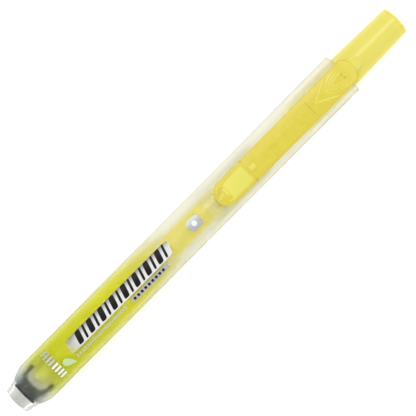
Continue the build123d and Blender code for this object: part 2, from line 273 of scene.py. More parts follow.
def colourStops(tree, stops, side):
    # A colour ramp from the first stop's place to the last one's.
    first, last = stops[0][0], stops[-1][0]
    share = shareAlong(tree, first, last, side)
    ramp = tree.nodes.new("ShaderNodeValToRGB")
    tree.links.new(share, ramp.inputs["Fac"])
    marks = ramp.color_ramp.elements
    for _ in stops[2:]:
        marks.new(0.5)
    for mark, (spot, colour) in zip(marks, stops):
        mark.color = (*colour, 1)
        mark.position = (spot - first) / (last - first)
    return ramp.outputs["Color"]


def finish(name, ownLook):
    # One material: the moulded skin's colour, roughness and grain, with the look's own shader values.
    look = {**plainLook, **ownLook}
    material = bpy.data.materials.new(name)
    material.use_nodes = True
    tree = material.node_tree
    shader = tree.nodes["Principled BSDF"]
    skin = placeGroup(tree, skinGroup, {
        "Light": (*look["light"], 1),
        "Dark": (*look["dark"], 1),
        "Clouds": look["clouds"],
        "Streaks": look["streaks"],
        "Grain": look["grain"],
        "Smoothest": look["rough"][0],
        "Roughest": look["rough"][1],
    })
    colour = skin.outputs["Color"]
    for side, key in enumerate(("along", "across")):
        if key in look:
            tint = tree.nodes.new("ShaderNodeMix")
            tint.data_type = "RGBA"
            tint.blend_type = "MULTIPLY"
            tint.inputs["Factor"].default_value = 1.0
            tree.links.new(colour, tint.inputs["A"])
            tree.links.new(colourStops(tree, look[key], side), tint.inputs["B"])
            colour = tint.outputs["Result"]
    if "shadeAndHighlight" in look:
        # painted shade and highlight from the mesh's tone: below zero towards the first colour, the painted
        # shade, above zero towards the second, the painted highlight
        tone = tree.nodes.new("ShaderNodeAttribute")
        tone.attribute_name = "tone"
        for limit, shade in zip((-1.0, 1.0), look["shadeAndHighlight"]):
            reach = tree.nodes.new("ShaderNodeMapRange")
            reach.inputs["From Max"].default_value = limit
            blend = tree.nodes.new("ShaderNodeMix")
            blend.data_type = "RGBA"
            tree.links.new(tone.outputs["Fac"], reach.inputs["Value"])
            tree.links.new(reach.outputs["Result"], blend.inputs["Factor"])
            tree.links.new(colour, blend.inputs["A"])
            blend.inputs["B"].default_value = (*shade, 1)
            colour = blend.outputs["Result"]
    tree.links.new(colour, shader.inputs["Base Color"])
    tree.links.new(colour, shader.inputs["Emission Color"])
    tree.links.new(skin.outputs["Roughness"], shader.inputs["Roughness"])
    if "innerGlow" in look:
        # painted light: more glow inside the barrel, lifting the shade there; the strength, and the
        # stations that it fades between
        strength, insideEnd, outsideStart = look["innerGlow"]
        share = shareAlong(tree, insideEnd, outsideStart)
        glow = tree.nodes.new("ShaderNodeMapRange")
        glow.inputs["To Min"].default_value = strength
        glow.inputs["To Max"].default_value = look["glow"]
        tree.links.new(share, glow.inputs["Value"])
        tree.links.new(glow.outputs["Result"], shader.inputs["Emission Strength"])
    if "fadeIn" in look:
        tree.links.new(shareAlong(tree, *look["fadeIn"]), shader.inputs["Alpha"])
    bump = tree.nodes.new("ShaderNodeBump")
    bump.inputs["Strength"].default_value = look["bump"]
    bump.inputs["Distance"].default_value = look["bumpDepth"]
    tree.links.new(skin.outputs["Height"], bump.inputs["Height"])
    tree.links.new(bump.outputs["Normal"], shader.inputs["Normal"])
    for key, socket in plainSockets.items():
        shader.inputs[socket].default_value = look[key]
    return material


# Colours are light and dark ends of the skin. Stops under "along" and "across" are (millimetres, tint).
# glow is painted light: emission from parts that are no lamps
looks = {
    "frostedBarrel": {
        "light": (0.98, 0.98, 0.96), "dark": (0.95, 0.95, 0.92), "rough": (0.30, 0.40),
        "clear": 0.965, "ior": 1.22, "shine": 0.4, "bump": 0.35,
        "along": [(3.8, (0.77, 0.81, 0.83)), (7.6, (0.82, 0.83, 0.74)), (9.4, (0.82, 0.83, 0.52)),
                  (11.0, (0.78, 0.80, 0.26)), (20.0, (0.80, 0.81, 0.24)), (40.0, (0.84, 0.83, 0.34)),
                  (50.0, (0.87, 0.86, 0.64)), (60.0, (0.935, 0.935, 0.89)), (100.0, (0.94, 0.93, 0.87)),
                  (110.0, (0.94, 0.925, 0.84))],
        # across: painted shade, darker and yellower towards the barrel's -Y side
        "across": [(-6.2, (0.94, 0.94, 0.84)), (-5.3, (0.96, 0.96, 0.90)), (-4.0, (0.99, 0.985, 0.96)),
                   (-3.0, (1.0, 1.0, 1.0)), (6.2, (1.0, 1.0, 1.0))],
    },
    "clearNose": {
        "light": (0.81, 0.81, 0.79), "dark": (0.73, 0.74, 0.72), "rough": (0.10, 0.20),
        "clear": 0.975, "ior": 1.30, "shine": 0.4, "bump": 0.12,
    },
    "blackSeal": {
        "light": (0.010, 0.012, 0.014), "dark": (0.018, 0.021, 0.022), "rough": (0.5, 0.65),
        "bump": 0.3, "shine": 0.2,
    },
    "shutterPlastic": {
        "light": (0.110, 0.150, 0.125), "dark": (0.075, 0.105, 0.088), "rough": (0.45, 0.6), "shine": 0.2,
    },
    "fluorescentSleeve": {
        "light": (0.86, 0.85, 0.020), "dark": (0.80, 0.79, 0.014), "rough": (0.25, 0.35),
        "clear": 0.15, "glow": 0.27,
        "along": [(12.7, (0.80, 0.86, 1.0)), (18.0, (0.95, 0.97, 1.0)), (40.0, (1.0, 1.0, 1.8)),
                  (50.0, (0.94, 0.91, 10.0)), (56.0, (0.94, 0.90, 24.0))],
    },
    "softSeal": {"light": (0.80, 0.78, 0.45), "dark": (0.72, 0.70, 0.38), "rough": (0.5, 0.65)},
    "naturalPlastic": {
        "light": (0.95, 0.94, 0.86), "dark": (0.92, 0.90, 0.80), "rough": (0.30, 0.42), "glow": 0.12,
    },
    "camSleeve": {
        "light": (0.97, 0.96, 0.94), "dark": (0.94, 0.93, 0.90), "rough": (0.30, 0.42), "glow": 0.08,
        # across: painted shade, the clip's yellow shadow over the middle, darker towards both sides
        "across": [(-5.1, (0.93, 0.91, 0.78)), (-3.4, (0.99, 0.95, 0.62)), (-2.2, (0.99, 0.92, 0.34)),
                   (2.6, (0.99, 0.92, 0.34)), (3.8, (0.98, 0.97, 0.80)), (5.1, (0.90, 0.90, 0.86))],
    },
    "springSteel": {
        "light": (0.62, 0.62, 0.61), "dark": (0.45, 0.45, 0.45), "rough": (0.2, 0.35), "metal": 1.0,
    },
    "inkFibre": {
        "light": (0.84, 0.86, 0.06), "dark": (0.70, 0.72, 0.03), "rough": (0.7, 0.9),
        "streaks": (200.0, 9000.0, 9000.0), "bump": 0.8, "bumpDepth": 0.00005, "glow": 0.1,
    },
    # nibFibre: paler than the nib's own yellow and glowing, painted light for the pale streak over the nib
    "nibFibre": {
        "light": (0.94, 0.94, 0.58), "dark": (0.88, 0.88, 0.46), "rough": (0.7, 0.9),
        "streaks": (200.0, 9000.0, 9000.0), "bump": 0.8, "bumpDepth": 0.00005, "glow": 0.2,
    },
    "inkTube": {
        "light": (0.92, 0.84, 0.16), "dark": (0.88, 0.80, 0.13), "rough": (0.2, 0.3),
        "clear": 0.25, "glow": 0.16,
    },
    "latchPlastic": {
        "light": (0.93, 0.89, 0.58), "dark": (0.89, 0.84, 0.50), "rough": (0.35, 0.5), "glow": 0.3,
    },
    "yellowPlastic": {
        "light": (0.81, 0.735, 0.135), "dark": (0.76, 0.685, 0.110), "rough": (0.28, 0.42),
        "clear": 0.20, "bump": 0.08, "coat": 0.03, "coatRough": 0.2, "glow": 0.06,
        # innerGlow and along: painted light, a paler and brighter button where it lies inside the barrel in
        # the clip's shade
        "innerGlow": (0.18, 120.6, 122.2),
        "along": [(104.8, (1.12, 1.19, 4.6)), (120.6, (1.10, 1.15, 4.0)), (122.2, (1.0, 1.0, 1.0))],
        # across: painted shade, darker and yellower towards the -Y side, slightly darker towards +Y
        "across": [(-4.8, (0.99, 0.98, 0.70)), (-3.2, (1.0, 1.0, 0.88)), (-2.0, (1.0, 1.0, 1.0)),
                   (2.5, (1.0, 1.0, 1.0)), (4.8, (0.96, 0.96, 1.0))],
    },
    "clipPlastic": {
        "light": (0.79, 0.68, 0.085), "dark": (0.645, 0.535, 0.020), "rough": (0.28, 0.42),
        "clear": 0.15, "clouds": 600.0, "bump": 0.10, "coat": 0.03, "coatRough": 0.2, "glow": 0.04,
        # painted shade colour and painted highlight colour for the clip's tone
        "shadeAndHighlight": [(0.50, 0.39, 0.015), (0.80, 0.77, 0.14)],
    },
    "printBlack": {
        "light": (0.006, 0.005, 0.004), "dark": (0.012, 0.010, 0.008), "rough": (0.35, 0.45), "shine": 0.15,
    },
    "printSilver": {
        "light": (0.50, 0.51, 0.49), "dark": (0.40, 0.41, 0.40), "rough": (0.3, 0.4),
        "streaks": (60.0, 500.0, 60.0), "metal": 0.2,
    },
    "printBand": {
        "light": (0.78, 0.78, 0.76), "dark": (0.70, 0.70, 0.68), "rough": (0.3, 0.4),
        "fadeIn": (19.4, 23.5),
        "across": [(-1.2, (1.0, 1.0, 1.0)), (0.7, (0.92, 0.92, 0.91)), (2.4, (0.32, 0.33, 0.32))],
    },
    "printWhite": {"light": (0.86, 0.86, 0.83), "dark": (0.78, 0.78, 0.75), "rough": (0.35, 0.45)},
    "printGrey": {"light": (0.56, 0.58, 0.36), "dark": (0.48, 0.50, 0.30), "rough": (0.35, 0.45)},
    "printGreen": {"light": (0.44, 0.64, 0.28), "dark": (0.56, 0.72, 0.38), "rough": (0.35, 0.45)},
}
finishes = {name: finish(name, look) for name, look in looks.items()}
print("finishes made:", len(finishes))


mergeDistance = 1e-7


def gridQuads(rows, cols, wrapRows=False, wrapCols=False):
    # Quads between neighbouring rows and columns of a grid whose vertices run row by row.
    r = np.arange(rows if wrapRows else rows - 1)
    c = np.arange(cols if wrapCols else cols - 1)
    r, c = (g.ravel() for g in np.meshgrid(r, c, indexing="ij"))
    nextR, nextC = (r + 1) % rows, (c + 1) % cols
    return np.stack([r * cols + c, r * cols + nextC, nextR * cols + nextC, nextR * cols + c], axis=1)


def makeMesh(name, points, quads, sharpAngle=32):
    mesh = bpy.data.meshes.new(name)
    mesh.from_pydata(points.tolist(), [], quads.tolist())
    work = bmesh.new()
    work.from_mesh(mesh)
    bmesh.ops.remove_doubles(work, verts=work.verts, dist=mergeDistance)
    bmesh.ops.recalc_face_normals(work, faces=work.faces)
    work.to_mesh(mesh)
    work.free()
    mesh.shade_smooth()
    mesh.set_sharp_from_angle(angle=math.radians(sharpAngle))
    piece = bpy.data.objects.new(name, mesh)
    bpy.context.scene.collection.objects.link(piece)
    return piece


def cappedTube(name, rings, sharpAngle):
    # Rings of (station, across, height) joined into a tube, whose ends close on the rings' own middles.
    around = rings.shape[1]
    caps = [np.repeat(rings[k].mean(axis=0)[None], around, axis=0)[None] for k in (0, -1)]
    rings = np.concatenate([caps[0], rings, caps[1]])
    world = place(rings[..., 0], rings[..., 1], rings[..., 2])
    return makeMesh(name, world, gridQuads(len(rings), around, wrapCols=True), sharpAngle)


def dress(piece, material, body, slot, *nodes):
    piece.data.materials.clear()
    piece.data.materials.append(finishes[material])
    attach(piece, body)
    if nodes:
        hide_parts(*nodes)
    return piece


def rounded(corners, radii, steps=6, closed=True):
    # Every corner gives way to the circle arc that touches both its sides: the arc's two ends, seen from
    # its centre, are blended by the sines of the angles still to go.
    corners = np.array(corners, float)
    out = []
    for i, here in enumerate(corners):
        if radii[i] == 0 or (not closed and i in (0, len(corners) - 1)):
            out.append(here[None])
            continue
        sides = np.array([corners[i - 1] - here, corners[(i + 1) % len(corners)] - here])
        sides /= np.linalg.norm(sides, axis=1)[:, None]
        half = math.acos(np.clip(sides[0] @ sides[1], -1, 1)) / 2
        middle = sides.sum(axis=0)
        centre = here + middle / np.linalg.norm(middle) * radii[i] / math.sin(half)
        start, stop = here + sides * radii[i] / math.tan(half) - centre
        sweep = math.pi - 2 * half
        t = np.linspace(0, 1, steps + 1)[:, None]
        out.append(centre + (np.sin((1 - t) * sweep) * start + np.sin(t * sweep) * stop) / math.sin(sweep))
    return np.concatenate(out)


def turned(name, outline, segments=128, closed=True, sharpAngle=32):
    # A profile of (station, radius) carried round the pen's axis: across = r sin a, height = r cos a.
    angle = np.linspace(0, 2 * np.pi, segments, endpoint=False)
    station, radius = outline[:, 0][:, None], outline[:, 1][:, None]
    points = place(station + 0 * angle, radius * np.sin(angle), radius * np.cos(angle))
    return makeMesh(name, points, gridQuads(len(outline), segments, closed, True), sharpAngle)


barrelSpec = {
    "front": 3.85, "frontRadius": 4.65, "neck": 4.1, "neckEase": 0.02, "neckEnd": 4.9,
    "coneMiddle": (5.5, 5.42), "shoulder": 7.6, "radius": 6.0, "taperFrom": 62.0, "rear": 121.8,
    "rearRadius": 6.16, "bore": 5.1, "boreFrom": 6.6, "boreFrontRadius": 4.6, "rimRound": 0.35,
    "edgeRound": 0.12, "slotFrom": 108.2, "slotHalf": 2.2, "slotCorner": 0.4, "slotStep": 0.02,
    "coneRows": 22, "straightRows": 40, "cornerRows": 7, "tailRows": 14, "rimRows": 6, "around": 145,
}


def barrelRadius(station):
    # Straight front half, then a straight draft to the rear. Ahead of the shoulder, the circle through the
    # cone's front edge, its middle point and the shoulder.
    s = barrelSpec
    stops = [s["shoulder"], s["taperFrom"], s["rear"]]
    plain = np.interp(station, stops, [s["radius"], s["radius"], s["rearRadius"]])
    ax, ay = s["front"], s["frontRadius"]
    bx, by = s["coneMiddle"]
    cx, cy = s["shoulder"], s["radius"]
    rows = np.array([[2 * (bx - ax), 2 * (by - ay)], [2 * (cx - ax), 2 * (cy - ay)]])
    sums = np.array([bx * bx + by * by - ax * ax - ay * ay, cx * cx + cy * cy - ax * ax - ay * ay])
    px, py = np.linalg.solve(rows, sums)
    reach = (ax - px) ** 2 + (ay - py) ** 2
    arc = py + np.sqrt(np.maximum(reach - (np.clip(station, ax, cx) - px) ** 2, 0))
    return np.where(station < s["shoulder"], arc, plain)


def barrelShell(s):
    # Outer and inner walls share their stations, so the slot's cheeks are quads between them.
    cone = np.linspace(s["front"] + s["edgeRound"], s["shoulder"], s["coneRows"])
    straight = np.linspace(s["shoulder"], s["slotFrom"] - s["slotStep"], s["straightRows"])[1:]
    corner = s["slotFrom"] + s["slotCorner"] * (1 - np.cos(np.linspace(0, np.pi / 2, s["cornerRows"])))
    tail = np.linspace(corner[-1], s["rear"] - s["rimRound"], s["tailRows"])[1:]
    stations = np.concatenate([cone, straight, corner, tail])
    outer = barrelRadius(stations)
    step = np.interp(stations, [s["neckEnd"], s["boreFrom"]], [s["boreFrontRadius"], s["bore"]])
    inner = np.where(stations < s["boreFrom"], step, s["bore"])
    inner = np.where(stations < s["neckEnd"], s["neck"], inner)
    turn = np.linspace(0, np.pi / 2, s["rimRows"])
    rimStation = s["rear"] - s["rimRound"] * (1 - np.sin(turn[1:]))
    rimRadius = s["rearRadius"] - s["rimRound"] * (1 - np.cos(turn[1:]))
    rearFace = np.linspace(s["bore"], rimRadius[-1], s["rimRows"])[:-1]
    outerStation = np.concatenate([[s["front"]], stations, rimStation])
    outerRadius = np.concatenate([[s["frontRadius"] - s["edgeRound"]], outer, rimRadius])
    innerStation = np.concatenate([[s["front"]], stations, [s["rear"]] * len(rimStation)])
    innerRadius = np.concatenate([[s["neck"] + s["neckEase"]], inner, rearFace])
    loopStation = np.concatenate([outerStation, innerStation[::-1]])
    loopRadius = np.concatenate([outerRadius, innerRadius[::-1]])
    # half width of the slot: a square front end with rounded corners, then parallel sides
    into = np.clip(loopStation - s["slotFrom"], 0, s["slotCorner"])
    half = s["slotHalf"] - s["slotCorner"] + np.sqrt(s["slotCorner"] ** 2 - (s["slotCorner"] - into) ** 2)
    half = np.where(loopStation < s["slotFrom"] - s["slotStep"] / 2, 0, half)
    gap = np.arcsin(np.clip(half / loopRadius, 0, 1))[:, None]
    angle = gap + (2 * np.pi - 2 * gap) * np.linspace(0, 1, s["around"])[None]
    radius = loopRadius[:, None]
    points = place(loopStation[:, None] + 0 * angle, radius * np.sin(angle), radius * np.cos(angle))
    rows, cols = angle.shape
    # cheeks of the slot, between outer row i and inner row rows - 1 - i at both ends of the angle
    i = np.arange(np.searchsorted(outerStation, s["slotFrom"] - 2 * s["slotStep"]), len(outerStation) - 1)
    cheeks = []
    for column in (0, cols - 1):
        a, b = i * cols + column, (i + 1) * cols + column
        c, d = (rows - 2 - i) * cols + column, (rows - 1 - i) * cols + column
        cheeks.append(np.stack([a, b, c, d], axis=1))
    quads = np.concatenate([gridQuads(rows, cols, wrapRows=True), *cheeks])
    return makeMesh("barrelShell", points, quads, sharpAngle=40)


dress(barrelShell(barrelSpec), "frostedBarrel", "casing", "frosted_barrel", "barrel")
print("barrel made")


noseSpec = {
    "corners": [(0, 2.6), (0, 3.86), (3.85, 4.55), (3.85, 4.1), (4.9, 4.1), (4.9, 4.6), (5.7, 4.6),
                (5.7, 3.5), (2.95, 3.5), (2.95, 3.1), (1.0, 2.6)],
    "radii": [0.25, 0.75, 0.06, 0, 0.05, 0.05, 0.1, 0.05, 0.05, 0.1, 0.4],
}
seatSpec = {
    "front": 2.95, "rear": 5.7, "radius": 3.5, "hole": 2.45, "pivot": 9.0, "ball": 4.55,
    "radii": [0, 0.12, 0.2], "hollowRows": 14,
}


def seatRing(spec):
    # The rear is hollowed by the ball that the shutter leaves turn on: r = sqrt(R^2 - (pivot - s)^2).
    start = spec["pivot"] - math.sqrt(spec["ball"] ** 2 - spec["hole"] ** 2)
    s = np.linspace(start, spec["rear"], spec["hollowRows"])
    hollow = np.stack([s, np.sqrt(spec["ball"] ** 2 - (spec["pivot"] - s) ** 2)], axis=1)
    front, rear = spec["front"], spec["rear"]
    corners = [(rear, spec["radius"]), (front, spec["radius"]), (front, spec["hole"])]
    outline = np.concatenate([hollow, rounded(corners, spec["radii"])])
    return turned("seatRing", outline, segments=96)


nose = turned("noseCone", rounded(noseSpec["corners"], noseSpec["radii"], steps=8))
dress(nose, "clearNose", "casing", "clear_nose", "nose_cone")
dress(seatRing(seatSpec), "blackSeal", "casing", "black_elastomer", "seat_ring")
print("nose made")


sleeveSpec = {
    "corners": [(12.7, 2.6), (12.7, 5.07), (46, 5.07), (52, 4.62), (56, 4.62), (56, 4.0), (52.6, 4.0),
                (52.6, 3.5), (52, 3.5), (46, 4.2), (13.7, 4.2), (13.7, 2.6)],
    "radii": [0.15, 0.35, 3.0, 3.0, 0.15, 0.05, 0.05, 0.05, 0, 0, 0.2, 0.1],
}
holderSpec = {
    "corners": [(11.2, 1.76), (11.2, 2.2), (31.0, 2.2), (31.0, 3.25), (32.0, 3.25), (32.0, 2.75),
                (33.2, 2.75), (33.2, 2.3), (34.2, 2.3), (34.2, 2.75), (36.0, 2.75), (36.0, 1.76)],
    "radii": [0.08, 0.25, 0.2, 0.15, 0.08, 0, 0.08, 0.05, 0.05, 0.08, 0.2, 0.08],
}
tubeSpec = {
    "corners": [(32.0, 2.76), (32.0, 3.25), (78.0, 3.25), (78.0, 2.76)],
    "radii": [0.05, 0.15, 0.15, 0.05],
}
springSpec = {
    "wire": 0.2, "coil": 3.0, "front": 13.7, "rear": 31.0, "turns": 10.5, "deadTurns": 1.25,
    "closePitch": 0.12, "stroke": 13.0, "rows": 700, "around": 12,
}
nibSpec = {
    "tip": 7.2, "chiselEnd": 10.4, "radius": 1.75, "edge": 0.45, "slant": 1.4, "rear": 40.0,
    "softEnd": 0.25, "softShare": 0.35, "fullness": 1.6, "rows": 30, "crowding": 1.3, "around": 72,
}


def springWire(spec):
    # A tube along a helix. The dead turns at both ends lie flat and close, so the height along the pen is
    # the running sum of a pitch that eases between them; the wire's circle stands on the helix's normal.
    turns = np.linspace(0, spec["turns"], spec["rows"])
    closeness = np.clip(np.minimum(turns, spec["turns"] - turns) / spec["deadTurns"], 0, 1)
    pitch = spec["closePitch"] + closeness ** 2 * (3 - 2 * closeness)
    height = np.concatenate([[0], np.cumsum((pitch[1:] + pitch[:-1]) / 2)])
    length = spec["rear"] - spec["front"]
    height = spec["front"] + spec["wire"] + height / height[-1] * (length - 2 * spec["wire"])
    a = 2 * np.pi * turns
    line = np.stack([height, spec["coil"] * np.sin(a), spec["coil"] * np.cos(a)], axis=1)
    tangent = np.gradient(line, axis=0)
    tangent /= np.linalg.norm(tangent, axis=1)[:, None]
    outward = np.stack([0 * a, np.sin(a), np.cos(a)], axis=1)
    binormal = np.cross(tangent, outward)
    b = np.linspace(0, 2 * np.pi, spec["around"], endpoint=False)
    ring = np.cos(b)[None, :, None] * outward[:, None] + np.sin(b)[None, :, None] * binormal[:, None]
    piece = cappedTube("returnSpring", line[:, None] + spec["wire"] * ring, sharpAngle=60)
    dress(piece, "springSteel", "casing", "spring_steel", "main_spring")
    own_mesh(piece)


def nibRod(spec):
    # A round rod whose front is pinched to a chisel: the height of each section is clipped to a half
    # thickness that grows straight back from the edge, and the edge itself slants across the rod.
    wedge = spec["chiselEnd"] - spec["tip"]
    length = spec["rear"] - spec["tip"]
    along = np.concatenate([np.linspace(0, 1, spec["rows"]) ** spec["crowding"] * wedge, [length]])
    a = np.linspace(0, 2 * np.pi, spec["around"], endpoint=False)
    softened = 1 - np.clip(1 - along / spec["softEnd"], 0, 1) ** 2 * spec["softShare"]
    across = spec["radius"] * np.sin(a)[None] * softened[:, None]
    half = (np.interp(along, [0, wedge], [spec["edge"], spec["radius"]]) * softened)[:, None]
    raw = spec["radius"] * np.cos(a)[None] * softened[:, None]
    height = half * np.tanh(raw / half * spec["fullness"]) / math.tanh(spec["fullness"])
    height = np.where(along[:, None] >= wedge, raw, height)
    slant = spec["slant"] * (spec["radius"] - across) / (2 * spec["radius"])
    fadeOut = np.clip(1 - along / length, 0, 1)[:, None]
    station = spec["tip"] + along[:, None] + slant * fadeOut
    return cappedTube("nibRod", np.stack([station, across, height], axis=2), sharpAngle=40)


sleeve = turned("chamberSleeve", rounded(sleeveSpec["corners"], sleeveSpec["radii"]))
dress(sleeve, "fluorescentSleeve", "casing", "fluorescent_sleeve")
springWire(springSpec)
dress(nibRod(nibSpec), "nibFibre", "refill", "ink_fibre", "nib")
holder = turned("nibHolder", rounded(holderSpec["corners"], holderSpec["radii"]), segments=96)
dress(holder, "naturalPlastic", "refill", "natural_plastic", "nib_holder")
tube = turned("inkTube", rounded(tubeSpec["corners"], tubeSpec["radii"]), segments=96)
dress(tube, "inkTube", "refill", "ink_tube", "ink_tube")
print("refill made")


buttonSpec = {
    "corners": [(142.0, 0), (141.65, 4.24), (121.8, 4.75), (104.8, 4.75), (104.8, 3.3), (139.5, 3.3),
                (139.5, 0)],
    "radii": [0, 0.8, 9.0, 0.15, 0.1, 0.4, 0],
    "tip": 142.0, "domeRows": 8,
}
clipSpec = {
    "front": 74.5, "noseLength": 4.0, "nosePower": 2.2, "rear": 124.6, "tailLength": 2.6, "half": 3.6,
    "top": 7.99, "under": 6.6, "crown": 0.3, "edge": 0.42, "underEdge": 0.2, "slimHalf": 1.2,
    "fallFrom": 117.5, "fallTo": 125.2, "fallTop": 6.8, "reliefEdge": 0.5,
    "noseRows": 40, "windowEnd": 89.5, "windowRows": 80, "middleEnd": 108.5, "middleRows": 20,
    "creaseRows": 110, "tailRows": 22, "flatColumns": 73, "bendColumns": 6, "underStep": 3,
}
# What is moulded into the clip's top, and the painted shade and highlights laid over it. Pairs are where an
# edge starts and stops, rise is in millimetres,
# and tone is painted light: from -1, painted shade in creases, grooves and along the edges, to 1, painted
# highlight on glints, ridges and pale patches.
clipMarks = {
    # window, boss, vee and arches: painted light, paler over moulded relief; bar and line: painted shade in
    # grooves
    "window": {"front": (78.0, 78.9), "rear": (85.05, 85.75), "side": (2.15, 2.95),
               "rise": -0.08, "tone": 0.75},
    "bar": {"at": 85.9, "width": 0.25, "ends": (2.5, 3.1), "middle": 0.15, "rise": -0.09, "tone": -0.8},
    "boss": {"front": (86.3, 86.7), "rear": (88.0, 88.4), "side": (0.40, 0.70),
             "rise": 0.07, "tone": 0.75},
    "line": {"at": 108.7, "width": 0.18, "ends": (1.9, 2.3), "rise": -0.05, "tone": -0.5},
    "vee": {"apex": 110.4, "slope": 0.50, "width": 0.16, "front": (110.2, 110.7), "rear": (115.2, 117.2),
            "rise": 0.10, "tone": 0.75},
    "arches": {"foot": 121.0, "width": 0.13, "sizes": [(6.2, 2.7), (5.2, 1.9), (4.2, 1.2)],
               "rise": 0.05, "tone": 0.4},
    # glints: painted highlights; creases: painted shade in moulded creases and dents
    # strokes are station and across at one end, the same at the other end, and the width
    "glints": {"strokes": [(75.0, -0.15, 76.8, 0.35, 0.14), (77.7, 1.3, 77.9, -0.6, 0.22),
                           (76.9, -2.2, 78.4, -2.5, 0.12)], "rise": 0.08, "tone": 1.0},
    "creases": {"strokes": [(75.9, 1.2, 77.4, 2.2, 0.10), (76.3, 0.9, 77.9, 1.8, 0.10),
                            (78.3, 2.2, 80.0, 2.4, 0.16), (120.7, 0.35, 120.7, 0.75, 0.2),
                            (120.7, -0.45, 120.7, -0.9, 0.22)], "rise": -0.08, "tone": -0.7},
    # tail: paler towards the button's colour, painted light over the shade at the clip's end; rim: painted
    # shade along the edges
    "tail": {"front": (121.1, 122.6), "rise": 0.0, "tone": 0.25},
    "rim": {"side": (3.05, 3.5), "rise": 0.0, "tone": -0.28},
}
rootSpec = {
    "front": 121.3, "rear": 128.3, "half": 1.9, "foot": 4.2, "top": 6.75,
    "fallFrom": 122.8, "fallTo": 129.8, "fallShare": 1.35, "narrowFrom": 124.0, "narrowShare": 0.25, "least": 0.1, "sunk": 0.3,
    "square": 5, "rows": 26, "around": 48,
}
padSpec = {
    "front": 76.5, "rear": 80.5, "half": 1.6, "under": 6.2, "roof": 6.75, "roundShare": 0.6,
    "square": 6, "rings": 12, "around": 48,
}


def buttonTube(spec):
    # The end is a shallow dome: its corner arc, then a sine quarter up to the axis.
    body = rounded(spec["corners"], spec["radii"], steps=10, closed=False)
    top = body[1]
    lift = np.linspace(0, 1, spec["domeRows"])[:-1]
    rise = spec["tip"] - top[0]
    dome = np.stack([top[0] + rise * np.cos(lift * np.pi / 2), top[1] * np.sin(lift * np.pi / 2)], axis=1)
    return turned("buttonTube", np.concatenate([dome, body[1:]]), closed=False, sharpAngle=35)


def soft(value, start, stop):
    # Smooth step from 0 at start to 1 at stop.
    t = np.clip((value - start) / (stop - start), 0, 1)
    return t * t * (3 - 2 * t)


def ridge(distance, width):
    # A rounded bar across a distance: exp of minus its square over the width's.
    return np.exp(-(distance / width) ** 2)


def superellipse(angle, power):
    # The reach of a rounded square in each direction: |x|^n + |y|^n = 1.
    return (np.abs(np.cos(angle)) ** power + np.abs(np.sin(angle)) ** power) ** (-1 / power)


def strokeNear(station, across, stroke):
    # A soft bar along a straight stroke: 1 on it, falling off with the distance over its width.
    x0, y0, x1, y1, width = stroke
    dx, dy = x1 - x0, y1 - y0
    t = np.clip(((station - x0) * dx + (across - y0) * dy) / (dx * dx + dy * dy), 0, 1)
    return ridge(np.hypot(station - x0 - t * dx, across - y0 - t * dy), width)


def clipMasks(station, across, marks):
    # How much of each mark there is at a point, from 0 to 1.
    aside = abs(across)
    masks = {}
    for name in ("window", "boss"):
        m = marks[name]
        length = soft(station, *m["front"]) * (1 - soft(station, *m["rear"]))
        masks[name] = length * (1 - soft(aside, *m["side"]))
    m = marks["bar"]
    ends = m["middle"] + (1 - m["middle"]) * soft(aside, *m["ends"])
    masks["bar"] = ridge(station - m["at"], m["width"]) * ends
    m = marks["line"]
    masks["line"] = ridge(station - m["at"], m["width"]) * (1 - soft(aside, *m["ends"]))
    m = marks["vee"]
    legs = ridge(aside - m["slope"] * (station - m["apex"]), m["width"])
    masks["vee"] = legs * soft(station, *m["front"]) * (1 - soft(station, *m["rear"]))
    m = marks["arches"]
    masks["arches"] = 0 * station
    for length, width in m["sizes"]:
        # half an ellipse: its distance is measured in widths, so that all the arches are as thick
        ahead = np.maximum(m["foot"] - station, 0) / length
        arch = ridge((np.hypot(ahead, across / width) - 1) * width, m["width"])
        masks["arches"] = masks["arches"] + arch * (station < m["foot"])
    for name in ("glints", "creases"):
        masks[name] = sum(strokeNear(station, across, stroke) for stroke in marks[name]["strokes"])
    masks["tail"] = soft(station, *marks["tail"]["front"])
    masks["rim"] = soft(aside, *marks["rim"]["side"])
    return masks


def clipSum(station, across, marks, key):
    # The marks' masks, each times its own rise or tone, added up.
    masks = clipMasks(station, across, marks)
    return sum(marks[name][key] * mask for name, mask in masks.items())


